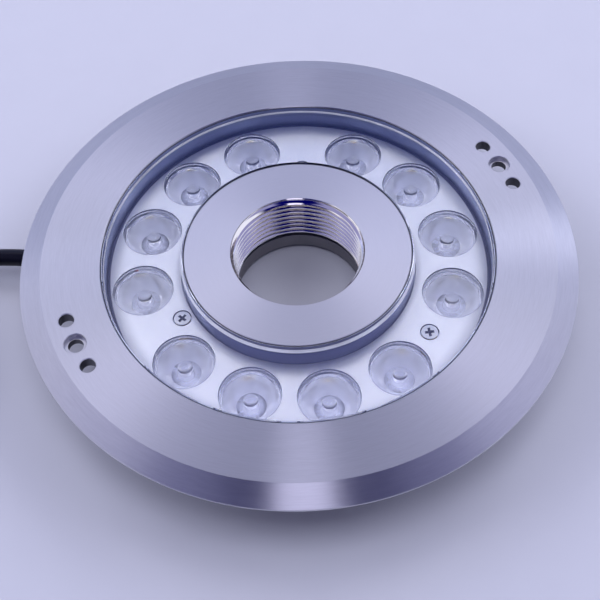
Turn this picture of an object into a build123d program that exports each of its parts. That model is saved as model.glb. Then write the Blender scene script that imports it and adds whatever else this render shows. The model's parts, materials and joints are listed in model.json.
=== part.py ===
"""Ring-shaped underwater light with a threaded hub, in millimetres.

The origin is the centre of the underside. +Z points up through the bore, and +X passes through the
middle of one group of flange holes.
"""
from build123d import *
from math import cos, pi, radians, sin, tan
import os

# ---------------------------------------------------------------- driving dimensions
OVERALL_HEIGHT = 28.0
FLANGE_RADIUS = 99.0
FLAT_RADIUS = 91.3           # where the top face turns into the outer bevel
BEVEL_DROP = 3.3
RIM_THICKNESS = 1.0
WINDOW_OUTER_RADIUS = 70.1   # opening in the flange, at the top
WINDOW_INNER_RADIUS = 40.55  # hub head, at the top
OUTER_LEDGE_RADIUS = 69.1
INNER_LEDGE_RADIUS = 42.0
HUB_RECESS = 0.4             # hub face below the flange face

PAN_RADIUS = 76.0
PAN_WALL = 2.5
BASE_THICKNESS = 2.5

THREAD_MINOR_RADIUS = 22.42  # G 1-1/2
THREAD_TOP_DEPTH = 2.5
THREAD_LENGTH = 16.2
GROOVE_RADIUS = 24.4         # run-out groove below the thread
GROOVE_HEIGHT = 2.4
RELIEF_RADIUS = 23.0
HUB_TUBE_RADIUS = 27.5
HUB_SKIRT_RADIUS = 39.5

HOLE_CIRCLE_RADIUS = 84.26
HOLE_GROUPS = (0, 180)       # azimuth of each group's middle hole
SIDE_HOLE_ANGLE = 7.0
SIDE_HOLE_RADIUS = 2.65
MIDDLE_HOLE_RADIUS = 2.7
COUNTERBORE_RADIUS = 3.85
COUNTERBORE_DEPTH = 1.7

GLASS_THICKNESS = 4.0
GLASS_RECESS = 0.1
GASKET_THICKNESS = 0.4
SEAL_GAP = 0.35              # sealant joint beside the glass

LED_CIRCLE_RADIUS = 56.3
LED_GROUP_CENTRES = (0.0, 122.5, 240.0)
LED_PITCH_ANGLE = 27.3
LEDS_PER_GROUP = 4

PLATE_DEPTH = 10.7           # plate's top face below the flange face
PLATE_THICKNESS = 2.0
LENS_HOLE_RADIUS = 10.8
PLATE_SCREWS = ((61.3, 46.5), (182.0, 46.5), (299.5, 54.5))  # azimuth, radius

BOARD_INNER_RADIUS = 32.0
BOARD_OUTER_RADIUS = 68.0
BOARD_THICKNESS = 1.6
PAD_THICKNESS = 0.5

GLAND_AZIMUTH = 146.0
GLAND_HEIGHT = 9.5
GLAND_END = 97.0             # distance of the dome nut's mouth from the bore axis
CABLE_RADIUS = 3.2

# Free cable from the gland's mouth to the coil, lying down onto the ground plane.
CABLE_ROUTE = (
    (-80.42, 54.24, 9.5),
    (-92.02, 62.07, 9.5),
    (-104.7, 69.2, 6.5),
    (-121.5, 76.4, 4.1),
    (-142.8, 83.1, 3.7),
)
COIL_CENTRE = (-160.0, 45.5)
COIL_INNER_TURN = 28.6       # radius of the innermost turn's centre line
COIL_PITCH = 6.4
COIL_LIFT = 0.5              # the tie passes under the coil
TAIL_ROUTE = (
    (-191.8, 60.1, 10.1),
    (-199.5, 42.5, 10.2),
    (-208.4, 23.7, 9.0),
)
CONNECTOR_AZIMUTH = 245.4
TAIL_INSERTION = 14.5

# ---------------------------------------------------------------- levels worked out from them
TOP = OVERALL_HEIGHT
BEVEL_FOOT = TOP - BEVEL_DROP
FLANGE_UNDERSIDE = BEVEL_FOOT - RIM_THICKNESS
GLASS_TOP = TOP - GLASS_RECESS
GLASS_BOTTOM = GLASS_TOP - GLASS_THICKNESS
LEDGE = GLASS_BOTTOM - GASKET_THICKNESS
HUB_TOP = TOP - HUB_RECESS
PLATE_TOP = TOP - PLATE_DEPTH
PLATE_BOTTOM = PLATE_TOP - PLATE_THICKNESS
PAD_TOP = BASE_THICKNESS + PAD_THICKNESS
BOARD_TOP = PAD_TOP + BOARD_THICKNESS
PAN_INSIDE = PAN_RADIUS - PAN_WALL
FIT_GAP = 0.1                # between pieces that locate in each other

os.makedirs("parts", exist_ok=True)


# ---------------------------------------------------------------- helpers
def turned(*outline):
    """Solid of revolution about +Z from (radius, height) points."""
    face = make_face(Plane.XZ * Polyline(*outline, close=True))
    return revolve(face, Axis.Z)


def ring(inner, outer, bottom, top):
    return turned((inner, bottom), (outer, bottom), (outer, top), (inner, top))


def rod(radius, bottom, top):
    return Pos(0, 0, (bottom + top) / 2) * Cylinder(radius, top - bottom)


def hexagon(across_flats, bottom, top):
    """Hexagonal bar with two flats square to the local X axis."""
    outline = Rot(0, 0, 30) * RegularPolygon(across_flats / 2, 6, major_radius=False)
    return Pos(0, 0, bottom) * extrude(outline, top - bottom)


def block(length, width, bottom, top):
    return Pos(0, 0, (bottom + top) / 2) * Box(length, width, top - bottom)


def polar(radius, azimuth, height=0.0):
    """Location on a circle about the bore, with its +X pointing outward."""
    place = Pos(radius * cos(radians(azimuth)), radius * sin(radians(azimuth)), height)
    return place * Rot(0, 0, azimuth)


def group(solids):
    """Several separate solids kept in one node."""
    return Compound(children=list(solids))


def save(name, shape):
    export_step(shape, f"parts/{name}.step")


def led_azimuths():
    first = (1 - LEDS_PER_GROUP) / 2
    return [
        centre + (first + number) * LED_PITCH_ANGLE
        for centre in LED_GROUP_CENTRES
        for number in range(LEDS_PER_GROUP)
    ]


def arc_radii(route):
    """Radius at each corner: 0.45 of the shorter run over the tangent of half the turn."""
    points = [Vector(*point) for point in route]
    radii = []
    for before, corner, after in zip(points, points[1:], points[2:]):
        arriving = corner - before
        leaving = after - corner
        half_turn = radians(arriving.get_angle(leaving)) / 2
        radii.append(0.45 * min(arriving.length, leaving.length) / tan(half_turn))
    return radii


def tube(route, radius, name):
    """Round cord of straight runs joined by tangent arcs."""
    radii = arc_radii(route)
    path = FilletPolyline(*route, radius=radii)
    section = Plane(origin=path @ 0, z_dir=path % 0) * Circle(radius)
    solid = sweep(section, path=path)
    share = solid.volume / (pi * radius**2 * path.length)
    print(name, "length", round(path.length, 1), "volume share", round(share, 4))
    print(name, "radii", [round(r) for r in radii])
    return solid


# ---------------------------------------------------------------- housing
def face_ring():
    """Flange with its outer bevel, the glass ledge and the short wall below the window."""
    wall_bottom = PLATE_TOP - 0.9
    arris = 0.25
    body = turned(
        (OUTER_LEDGE_RADIUS, wall_bottom),
        (PAN_INSIDE - FIT_GAP, wall_bottom),
        (PAN_INSIDE - FIT_GAP, FLANGE_UNDERSIDE),
        (FLANGE_RADIUS, FLANGE_UNDERSIDE),
        (FLANGE_RADIUS, BEVEL_FOOT),
        (FLAT_RADIUS, TOP),
        (WINDOW_OUTER_RADIUS + arris, TOP),
        (WINDOW_OUTER_RADIUS, TOP - arris),
        (WINDOW_OUTER_RADIUS, LEDGE),
        (OUTER_LEDGE_RADIUS, LEDGE),
    )
    for azimuth in HOLE_GROUPS:
        for side in (-SIDE_HOLE_ANGLE, SIDE_HOLE_ANGLE):
            body -= polar(HOLE_CIRCLE_RADIUS, azimuth + side) * rod(SIDE_HOLE_RADIUS, 0, TOP + 1)
        body -= polar(HOLE_CIRCLE_RADIUS, azimuth) * rod(MIDDLE_HOLE_RADIUS, 0, TOP + 1)
        pocket = rod(COUNTERBORE_RADIUS, TOP - COUNTERBORE_DEPTH, TOP + 1)
        body -= polar(HOLE_CIRCLE_RADIUS, azimuth) * pocket
    return body


GLAND_HOLE_RADIUS = 6.1
BOSS_RADIUS = 9.0
BOSS_FACE = 78.0


def gland_plane():
    """Frame whose +Z is the cable's axis, measured outward from the bore axis."""
    outward = Vector(cos(radians(GLAND_AZIMUTH)), sin(radians(GLAND_AZIMUTH)), 0)
    return Plane(origin=(0, 0, GLAND_HEIGHT), x_dir=Vector(0, 0, 1), z_dir=outward)


def housing_pan():
    """Pan with a rounded lower corner and a flat boss for the cable gland."""
    corner = 2.0
    floor_hole = HUB_TUBE_RADIUS + FIT_GAP
    outline = Polyline(
        (floor_hole, 0),
        (PAN_RADIUS - corner, 0),
    )
    bend = RadiusArc((PAN_RADIUS - corner, 0), (PAN_RADIUS, corner), -corner)
    rest = Polyline(
        (PAN_RADIUS, corner),
        (PAN_RADIUS, FLANGE_UNDERSIDE),
        (PAN_INSIDE, FLANGE_UNDERSIDE),
        (PAN_INSIDE, BASE_THICKNESS),
        (floor_hole, BASE_THICKNESS),
        (floor_hole, 0),
    )
    body = revolve(make_face(Plane.XZ * (outline + bend + rest)), Axis.Z)
    boss = gland_plane() * rod(BOSS_RADIUS, PAN_INSIDE + 1, BOSS_FACE)
    body += boss
    return body - gland_plane() * rod(GLAND_HOLE_RADIUS, PAN_INSIDE - 5, BOSS_FACE + 1)


def threaded_hub():
    """Hub head, glass ledge, skirt and through tube, bored at the thread's minor radius."""
    skirt_bottom = PLATE_TOP - 2.3
    head_underside = TOP - 6.4
    thread_top = TOP - THREAD_TOP_DEPTH
    thread_bottom = thread_top - THREAD_LENGTH
    groove_floor = thread_bottom - GROOVE_HEIGHT
    arris = 0.2
    mouth = 24.0
    return turned(
        (mouth, 0),
        (HUB_TUBE_RADIUS, 0),
        (HUB_TUBE_RADIUS, head_underside),
        (HUB_SKIRT_RADIUS, head_underside),
        (HUB_SKIRT_RADIUS, skirt_bottom),
        (INNER_LEDGE_RADIUS, skirt_bottom),
        (INNER_LEDGE_RADIUS, LEDGE),
        (WINDOW_INNER_RADIUS, LEDGE),
        (WINDOW_INNER_RADIUS, HUB_TOP - arris),
        (WINDOW_INNER_RADIUS - arris, HUB_TOP),
        (mouth, HUB_TOP),
        (THREAD_MINOR_RADIUS, thread_top),
        (THREAD_MINOR_RADIUS, thread_bottom),
        (GROOVE_RADIUS, thread_bottom),
        (GROOVE_RADIUS, groove_floor),
        (RELIEF_RADIUS, groove_floor),
        (RELIEF_RADIUS, 1.0),
    )


def welds():
    """Fillet beads: pan to flange outside, hub to base inside."""
    leg = 1.8
    save("flange_weld", turned(
        (PAN_RADIUS, FLANGE_UNDERSIDE),
        (PAN_RADIUS, FLANGE_UNDERSIDE - leg),
        (PAN_RADIUS + leg, FLANGE_UNDERSIDE),
    ))
    save("hub_weld", turned(
        (HUB_TUBE_RADIUS, BASE_THICKNESS),
        (HUB_TUBE_RADIUS + leg, BASE_THICKNESS),
        (HUB_TUBE_RADIUS, BASE_THICKNESS + leg),
    ))


# ---------------------------------------------------------------- window
def window():
    """Ring of glass on two flat gaskets, with a bead of sealant in each joint."""
    arris = 0.35
    inner = WINDOW_INNER_RADIUS + SEAL_GAP
    outer = WINDOW_OUTER_RADIUS - SEAL_GAP
    save("window_glass", turned(
        (inner, GLASS_BOTTOM + arris),
        (inner + arris, GLASS_BOTTOM),
        (outer - arris, GLASS_BOTTOM),
        (outer, GLASS_BOTTOM + arris),
        (outer, GLASS_TOP - arris),
        (outer - arris, GLASS_TOP),
        (inner + arris, GLASS_TOP),
        (inner, GLASS_TOP - arris),
    ))
    slack = 0.02
    save("outer_gasket", ring(OUTER_LEDGE_RADIUS, WINDOW_OUTER_RADIUS - slack, LEDGE, GLASS_BOTTOM))
    save("inner_gasket", ring(WINDOW_INNER_RADIUS + slack, INNER_LEDGE_RADIUS, LEDGE, GLASS_BOTTOM))
    bead_bottom = GLASS_BOTTOM + 0.6
    bead_top = GLASS_TOP - 0.4
    save("outer_sealant", ring(outer + slack, WINDOW_OUTER_RADIUS - slack, bead_bottom, bead_top))
    save("inner_sealant", ring(WINDOW_INNER_RADIUS + slack, inner - slack, bead_bottom, bead_top))


# ---------------------------------------------------------------- light engine
SCREW_RADIUS = 1.45
SCREW_HEAD_RADIUS = 3.0
SCREW_HOLE_RADIUS = 1.6
STANDOFF_RADIUS = 2.75
STUD_TOP = BOARD_TOP + 3.5


def lens_plate():
    plate = ring(INNER_LEDGE_RADIUS + 0.3, OUTER_LEDGE_RADIUS - FIT_GAP, PLATE_BOTTOM, PLATE_TOP)
    for azimuth in led_azimuths():
        plate -= polar(LED_CIRCLE_RADIUS, azimuth) * rod(LENS_HOLE_RADIUS, PLATE_BOTTOM - 1, PLATE_TOP + 1)
    sink = SCREW_HEAD_RADIUS - SCREW_HOLE_RADIUS + FIT_GAP
    countersink = turned(
        (0, PLATE_BOTTOM - 1),
        (SCREW_HOLE_RADIUS, PLATE_BOTTOM - 1),
        (SCREW_HOLE_RADIUS, PLATE_TOP - sink),
        (SCREW_HOLE_RADIUS + sink, PLATE_TOP),
        (SCREW_HOLE_RADIUS + sink, PLATE_TOP + 1),
        (0, PLATE_TOP + 1),
    )
    for azimuth, radius in PLATE_SCREWS:
        plate -= polar(radius, azimuth) * countersink
    return plate


def lens():
    """Collimator: flat front, retaining lip, bulging cone, and a cavity over the emitter."""
    front = PLATE_TOP - 0.3
    lip_top = PLATE_BOTTOM - FIT_GAP
    lip_bottom = lip_top - 0.9
    front_radius = LENS_HOLE_RADIUS - 0.15
    lip_radius = 11.7
    shell_top_radius = 10.2
    foot_radius = 5.2
    throat_radius = 3.2
    roof_radius = 2.6
    cavity_top = BOARD_TOP + 6.6
    side = ThreePointArc((foot_radius, BOARD_TOP), (8.6, BOARD_TOP + 4.6), (shell_top_radius, lip_bottom))
    front_edge = Polyline(
        (shell_top_radius, lip_bottom),
        (lip_radius, lip_bottom),
        (lip_radius, lip_top),
        (front_radius, lip_top),
        (front_radius, front),
        (0, front),
        (0, cavity_top - 0.9),
    )
    roof = ThreePointArc((0, cavity_top - 0.9), (1.5, cavity_top - 0.6), (roof_radius, cavity_top))
    wall = Polyline((roof_radius, cavity_top), (throat_radius, BOARD_TOP), (foot_radius, BOARD_TOP))
    return revolve(make_face(Plane.XZ * (side + front_edge + roof + wall)), Axis.Z)


def led():
    """Ceramic emitter package with its silicone dome."""
    package_width = 3.5
    package_top = BOARD_TOP + 0.8
    dome_radius = 1.3
    dome_foot = package_top + 0.3
    ball = Pos(0, 0, dome_foot) * Sphere(dome_radius)
    dome = rod(dome_radius, package_top, dome_foot) + ball
    above_package = block(package_width, package_width, package_top, package_top + 2 * dome_radius)
    return block(package_width, package_width, BOARD_TOP, package_top) + (dome & above_package)


def lenses_and_leds():
    shapes = {"lens": lens(), "led": led()}
    for number, azimuth in enumerate(led_azimuths(), start=1):
        for kind, shape in shapes.items():
            save(f"{kind}_{number:02d}", polar(LED_CIRCLE_RADIUS, azimuth) * shape)


def board_and_pad():
    """Circuit board and thermal pad, with clearance for the three studs."""
    board = ring(BOARD_INNER_RADIUS, BOARD_OUTER_RADIUS, PAD_TOP, BOARD_TOP)
    pad = ring(BOARD_INNER_RADIUS, BOARD_OUTER_RADIUS, BASE_THICKNESS, PAD_TOP)
    for azimuth, radius in PLATE_SCREWS:
        hole = polar(radius, azimuth) * rod(SCREW_HOLE_RADIUS, 0, BOARD_TOP + 1)
        board -= hole
        pad -= hole
    save("led_board", board)
    save("thermal_pad", pad)


def plate_screw():
    """Countersunk screw with a cross recess."""
    head_top = PLATE_TOP - 0.05
    tip = PLATE_BOTTOM - 5
    cone = SCREW_HEAD_RADIUS - SCREW_RADIUS
    body = turned(
        (0, head_top),
        (SCREW_HEAD_RADIUS, head_top),
        (SCREW_RADIUS, head_top - cone),
        (SCREW_RADIUS, tip),
        (0, tip),
    )
    arm_length = 2.9
    arm_width = 0.7
    recess_floor = head_top - 1.1
    for quarter in (0, 90):
        body -= Rot(0, 0, quarter) * block(arm_length, arm_width, recess_floor, head_top + 1)
    return body


def fasteners():
    tapping = SCREW_RADIUS + 0.05
    standoff = rod(STANDOFF_RADIUS, BOARD_TOP, PLATE_BOTTOM)
    standoff -= rod(tapping, PLATE_BOTTOM - 6, PLATE_BOTTOM + 1)
    standoff -= rod(tapping, BOARD_TOP - 1, STUD_TOP + 0.5)
    stud = rod(SCREW_RADIUS, BASE_THICKNESS, STUD_TOP)
    for name, shape in (
        ("base_studs", stud),
        ("plate_standoffs", standoff),
        ("plate_screws", plate_screw()),
    ):
        save(name, group(polar(radius, azimuth) * shape for azimuth, radius in PLATE_SCREWS))


def driver():
    """Constant-current driver in the free sector of the board, and round its inner edge."""
    chip = block(5, 4, BOARD_TOP, BOARD_TOP + 1.5)
    chip += block(1.2, 6, BOARD_TOP, BOARD_TOP + 0.5)
    choke = fillet(block(7, 7, BOARD_TOP, BOARD_TOP + 3.5).edges().filter_by(Axis.Z), 1.5)
    capacitor = block(3.2, 2.5, BOARD_TOP, BOARD_TOP + 1.8)
    inner_row, outer_row = 36.5, 61.0
    chips = ((61.3, outer_row), (20.0, inner_row), (240.0, inner_row))
    chokes = ((61.3, inner_row), (181.3, inner_row), (300.0, inner_row))
    capacitors = (
        (55.5, outer_row),
        (67.0, outer_row),
        (40.0, inner_row),
        (200.0, inner_row),
        (320.0, inner_row),
    )
    for name, shape, places in (
        ("driver_chips", chip, chips),
        ("driver_inductors", choke, chokes),
        ("driver_capacitors", capacitor, capacitors),
    ):
        save(name, group(polar(radius, azimuth) * shape for azimuth, radius in places))


# ---------------------------------------------------------------- cable entry
INNER_END = 66.0             # where the cable's jacket stops inside the housing
LEAD_RADIUS = 0.8
GLAND_FLATS = 15.0
GLAND_SHOULDER = BOSS_FACE + 1.2     # face of the hexagon that the sealing ring bears on
GLAND_THREAD_RADIUS = 6.0
GLAND_CUP_END = 90.0                 # mouth of the body's cup, round the rubber seal
CUP_RADIUS = 5.0
HEX_HEIGHT = 4.0


def gland_body():
    """Body with its hexagon, the thread through the boss and the cup for the rubber seal."""
    cable_clearance = 3.5
    thread_start = INNER_END + 3.3
    body = hexagon(GLAND_FLATS, GLAND_SHOULDER, GLAND_SHOULDER + HEX_HEIGHT)
    body += rod(GLAND_THREAD_RADIUS - 0.05, thread_start, GLAND_SHOULDER + 1)
    body += rod(GLAND_THREAD_RADIUS, GLAND_SHOULDER + HEX_HEIGHT - 1, GLAND_CUP_END)
    body -= rod(cable_clearance, INNER_END, GLAND_END)
    return body - rod(CUP_RADIUS, GLAND_SHOULDER + HEX_HEIGHT + 1, GLAND_END)


def gland_dome_nut():
    """Nut with flats and a domed end that presses the seal onto the cable."""
    dome_foot = 92.0
    thread_end = 90.6
    body = hexagon(GLAND_FLATS, GLAND_SHOULDER + HEX_HEIGHT + 0.2, GLAND_CUP_END + 0.5)
    body += turned(
        (0, GLAND_CUP_END),
        (7.3, GLAND_CUP_END),
        (7.3, dome_foot),
        (6.4, 95.2),
        (4.7, GLAND_END),
        (0, GLAND_END),
    )
    body -= rod(GLAND_THREAD_RADIUS + FIT_GAP, GLAND_SHOULDER, thread_end)
    body -= rod(CUP_RADIUS + FIT_GAP, GLAND_CUP_END, dome_foot + 0.8)
    return body - rod(CABLE_RADIUS + FIT_GAP, GLAND_CUP_END, GLAND_END + 1)


def gland():
    """Cable gland through the boss, with its sealing ring, locknut, rubber seal and dome nut."""
    locknut = hexagon(13.0, 69.9, 72.9) - rod(GLAND_THREAD_RADIUS, 69, 74)
    seal = ring(CABLE_RADIUS + 0.05, CUP_RADIUS - FIT_GAP, GLAND_SHOULDER + HEX_HEIGHT + 1.2, 92.6)
    o_ring = ring(GLAND_THREAD_RADIUS + FIT_GAP, 8.2, BOSS_FACE, GLAND_SHOULDER)
    for name, shape in (
        ("gland_body", gland_body()),
        ("gland_dome_nut", gland_dome_nut()),
        ("gland_locknut", locknut),
        ("gland_seal", seal),
        ("gland_o_ring", o_ring),
        ("cable_inner", rod(CABLE_RADIUS, INNER_END, GLAND_END)),
    ):
        save(name, gland_plane() * shape)


def leads():
    """Two insulated wires from the jacket's end down to the board."""
    bend_radius = 2.0
    reach = 5.0
    spread = 1.3
    for name, side in (("lead_positive", spread), ("lead_negative", -spread)):
        path = FilletPolyline(
            (INNER_END, side, GLAND_HEIGHT),
            (INNER_END - reach, side, GLAND_HEIGHT),
            (INNER_END - reach, side, BOARD_TOP),
            radius=bend_radius,
        )
        section = Plane(origin=path @ 0, z_dir=path % 0) * Circle(LEAD_RADIUS)
        save(name, Rot(0, 0, GLAND_AZIMUTH) * sweep(section, path=path))


# ---------------------------------------------------------------- free cable, coil and connector
def coil():
    """Outer shape of the wound cable: three turns side by side below, two above."""
    outer_turn = COIL_INNER_TURN + 2 * COIL_PITCH
    inside = COIL_INNER_TURN - CABLE_RADIUS
    step = outer_turn - COIL_PITCH + CABLE_RADIUS
    outside = outer_turn + CABLE_RADIUS
    low = COIL_LIFT
    middle = low + COIL_PITCH
    high = middle + COIL_PITCH
    soft = 2.6
    wound = turned(
        (inside + soft, low),
        (outside - soft, low),
        (outside, low + soft),
        (outside, middle - soft),
        (outside - soft, middle),
        (step, middle),
        (step, high - soft),
        (step - soft, high),
        (inside + soft, high),
        (inside, high - soft),
        (inside, low + soft),
    )
    return Pos(*COIL_CENTRE) * wound


def coil_tie():
    """Flat band drawn tight round the coil's section."""
    slack = 0.2
    band = 0.45
    width = 5.0
    azimuth = 20.0
    outer_turn = COIL_INNER_TURN + 2 * COIL_PITCH
    inside = COIL_INNER_TURN - CABLE_RADIUS - slack
    outside = outer_turn + CABLE_RADIUS + slack
    step = outside - COIL_PITCH
    low = COIL_LIFT
    high = low + 2 * COIL_PITCH + slack
    section = make_face(Plane.XZ * Polyline(
        (inside, low),
        (outside, low),
        (outside, low + COIL_PITCH),
        (step, high),
        (inside, high),
        close=True,
    ))
    skin = extrude(offset(section, band), width / 2, both=True)
    return Pos(*COIL_CENTRE) * Rot(0, 0, azimuth) * (skin - extrude(section, width, both=True))


def connector_plane():
    """Frame whose +Z runs along the connector, from the cable towards the pins."""
    along = Vector(cos(radians(CONNECTOR_AZIMUTH)), sin(radians(CONNECTOR_AZIMUTH)), 0)
    return Plane(origin=TAIL_ROUTE[-1], x_dir=Vector(0, 0, 1), z_dir=along)


SHELL_RADIUS = 6.3
COLLAR_RADIUS = 7.3          # collar that the coupling nut turns behind
COLLAR_FOOT = 20.0
COLLAR_TOP = 21.5
SHELL_END = 40.0
CONTACT_DEPTH = 33.0         # from the tail's end to the floor of the contact holes
CONTACT_CIRCLE_RADIUS = 2.4
CONTACT_RADIUS = 1.0


def contact_places():
    return [Rot(0, 0, 90 + 180 * number) * Pos(CONTACT_CIRCLE_RADIUS, 0, 0) for number in range(2)]


def connector_body():
    """Shell with its collar, the cable's socket behind and two contact holes in front."""
    thread_radius = 5.4
    arris = 0.4
    body = turned(
        (0, 12.0),
        (thread_radius, 12.0),
        (thread_radius, 13.2),
        (SHELL_RADIUS + 0.2, 13.2),
        (SHELL_RADIUS + 0.2, COLLAR_FOOT),
        (COLLAR_RADIUS, COLLAR_FOOT),
        (COLLAR_RADIUS, COLLAR_TOP),
        (SHELL_RADIUS, COLLAR_TOP),
        (SHELL_RADIUS, SHELL_END - arris),
        (SHELL_RADIUS - arris, SHELL_END),
        (0, SHELL_END),
    )
    body -= rod(CABLE_RADIUS + FIT_GAP, 11, TAIL_INSERTION)
    for place in contact_places():
        body -= place * rod(CONTACT_RADIUS, CONTACT_DEPTH, SHELL_END + 1)
    return body


def connector_back_nut():
    """Tapered nut that grips the cable's jacket."""
    cable_hole = CABLE_RADIUS + FIT_GAP
    mouth = 5.5
    return turned(
        (cable_hole, 0),
        (4.8, 0),
        (7.0, 5.0),
        (7.0, 13.0),
        (mouth, 13.0),
        (mouth, 8.0),
        (cable_hole, 8.0),
    )


def connector_coupling_nut():
    """Loose nut with a lip behind the collar and grooves round its grip."""
    lip_radius = 6.6
    thread_radius = 7.5
    outer_radius = 8.8
    nut = turned(
        (lip_radius, 15.5),
        (outer_radius - 0.5, 15.5),
        (outer_radius, 16.5),
        (outer_radius, 38.5),
        (outer_radius - 0.4, 41.0),
        (thread_radius, 41.0),
        (thread_radius, 19.8),
        (lip_radius, 19.8),
    )
    groove_count = 12
    groove_radius = 0.55
    groove = Pos(outer_radius + 0.2, 0, 0) * rod(groove_radius, 18.5, 36.5)
    for number in range(groove_count):
        nut -= Rot(0, 0, number * 360 / groove_count) * groove
    return nut


def connector():
    """Round waterproof connector on the cable's tail."""
    contact = ring(0.6, CONTACT_RADIUS, CONTACT_DEPTH, SHELL_END - 0.2)
    seal = ring(SHELL_RADIUS + 0.05, COLLAR_RADIUS - FIT_GAP, COLLAR_TOP + FIT_GAP, 23.2)
    for name, shape in (
        ("connector_body", connector_body()),
        ("connector_back_nut", connector_back_nut()),
        ("connector_coupling_nut", connector_coupling_nut()),
        ("connector_contacts", group(place * contact for place in contact_places())),
        ("connector_seal", seal),
    ):
        save(name, connector_plane() * shape)


def free_cable():
    save("cable", tube(CABLE_ROUTE, CABLE_RADIUS, "cable"))
    heading = Vector(cos(radians(CONNECTOR_AZIMUTH)), sin(radians(CONNECTOR_AZIMUTH)), 0)
    inserted = Vector(*TAIL_ROUTE[-1]) + heading * TAIL_INSERTION
    tail = [Vector(*point) for point in TAIL_ROUTE] + [inserted]
    save("cable_tail", tube(tail, CABLE_RADIUS, "cable_tail"))
    save("cable_coil", coil())
    save("coil_tie", coil_tie())


save("face_ring", face_ring())
save("housing_pan", housing_pan())
save("threaded_hub", threaded_hub())
welds()
window()
save("lens_plate", lens_plate())
lenses_and_leds()
board_and_pad()
fasteners()
driver()
gland()
leads()
free_cable()
connector()
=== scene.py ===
"""Looks of the ring-shaped underwater light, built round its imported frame. Everything is in metres."""
import json
import math

import bmesh
import bpy
import numpy as np
from mathutils import Matrix, Vector


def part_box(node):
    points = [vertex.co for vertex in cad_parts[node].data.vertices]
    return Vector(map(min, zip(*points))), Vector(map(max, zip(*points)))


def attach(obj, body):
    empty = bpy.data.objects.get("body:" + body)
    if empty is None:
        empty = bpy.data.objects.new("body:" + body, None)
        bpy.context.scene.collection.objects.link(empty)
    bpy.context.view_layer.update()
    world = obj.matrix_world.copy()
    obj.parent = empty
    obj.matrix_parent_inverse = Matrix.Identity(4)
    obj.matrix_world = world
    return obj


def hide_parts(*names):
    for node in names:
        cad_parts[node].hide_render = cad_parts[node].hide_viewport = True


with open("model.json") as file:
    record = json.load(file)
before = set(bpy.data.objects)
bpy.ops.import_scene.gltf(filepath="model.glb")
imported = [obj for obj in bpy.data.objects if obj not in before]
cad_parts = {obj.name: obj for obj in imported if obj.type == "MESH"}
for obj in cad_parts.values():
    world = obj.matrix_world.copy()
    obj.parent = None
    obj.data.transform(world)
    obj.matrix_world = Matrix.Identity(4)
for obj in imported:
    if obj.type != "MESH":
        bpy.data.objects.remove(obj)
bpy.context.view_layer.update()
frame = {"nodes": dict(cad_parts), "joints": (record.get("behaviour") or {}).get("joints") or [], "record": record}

MM = 0.001
LIGHT = "light"


# ---------------------------------------------------------------- sizes read from the frame
def low(node):
    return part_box(node)[0].z


def high(node):
    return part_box(node)[1].z


def radii(node):
    """Smallest and largest distance of a CAD node's points from the bore axis."""
    points = np.array([v.co for v in frame["nodes"][node].data.vertices])
    distance = np.hypot(points[:, 0], points[:, 1])
    return float(distance.min()), float(distance.max())


def centre(node):
    lowest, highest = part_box(node)
    return (lowest + highest) / 2


def from_bore(point):
    """Distance of a point from the bore axis."""
    return math.hypot(point.x, point.y)


TOP = high("face_ring")
FLANGE_RADIUS = radii("face_ring")[1]
LEDGE_RADIUS = radii("face_ring")[0]
WINDOW_RADIUS = radii("outer_gasket")[1]
LEDGE = low("outer_gasket")
PAN_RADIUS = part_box("housing_pan")[1].x
HUB_TOP = high("threaded_hub")
HUB_SKIRT = radii("threaded_hub")[1]
HUB_HEAD_RADIUS = radii("inner_gasket")[0]
BOARD_TOP = high("led_board")
PLATE_TOP = high("lens_plate")
PLATE_BOTTOM = low("lens_plate")


# ---------------------------------------------------------------- mesh helpers
SAME_POINT = 2e-7            # points closer than this are merged
UPRIGHT = 0.3                # a face is a wall when its normal rises less than this


def rounded(corners, steps=4):
    """Outline in which each corner (radius, height, fillet) is replaced by an arc."""
    outline = []
    for index, (radius, height, fillet) in enumerate(corners):
        corner = Vector((radius, height))
        if not fillet:
            outline.append(corner)
            continue
        before = (Vector(corners[index - 1][:2]) - corner).normalized()
        after = (Vector(corners[(index + 1) % len(corners)][:2]) - corner).normalized()
        half = before.angle(after) / 2
        middle = corner + (before + after).normalized() * (fillet / math.sin(half))
        start = corner + before * (fillet / math.tan(half)) - middle
        turn = start.angle_signed(corner + after * (fillet / math.tan(half)) - middle)
        for step in range(steps + 1):
            outline.append(middle + Matrix.Rotation(-turn * step / steps, 2) @ start)
    return outline


def grid_mesh(name, rows, closed_rows=True):
    """Mesh through columns of points, one column for each angle, merged where they meet."""
    columns, count = len(rows), len(rows[0])
    mesh = bmesh.new()
    points = [[mesh.verts.new(point) for point in row] for row in rows]
    last = count if closed_rows else count - 1
    for column in range(columns - 1):
        for index in range(last):
            following = (index + 1) % count
            mesh.faces.new((
                points[column][index],
                points[column + 1][index],
                points[column + 1][following],
                points[column][following],
            ))
    bmesh.ops.remove_doubles(mesh, verts=mesh.verts, dist=SAME_POINT)
    bmesh.ops.dissolve_degenerate(mesh, edges=mesh.edges, dist=SAME_POINT)
    bmesh.ops.recalc_face_normals(mesh, faces=mesh.faces)
    data = bpy.data.meshes.new(name)
    mesh.to_mesh(data)
    mesh.free()
    return data


def lathe(name, outline, segments=256):
    """Closed outline of (radius, height) turned about +Z."""
    rows = [
        [(radius * math.cos(angle), radius * math.sin(angle), height) for radius, height in outline]
        for angle in np.linspace(0, 2 * math.pi, segments + 1)
    ]
    return grid_mesh(name, rows)


def new_object(name, data, place=Matrix.Identity(4)):
    thing = bpy.data.objects.new(name, data)
    bpy.context.scene.collection.objects.link(thing)
    thing.matrix_world = place
    return thing


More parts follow.
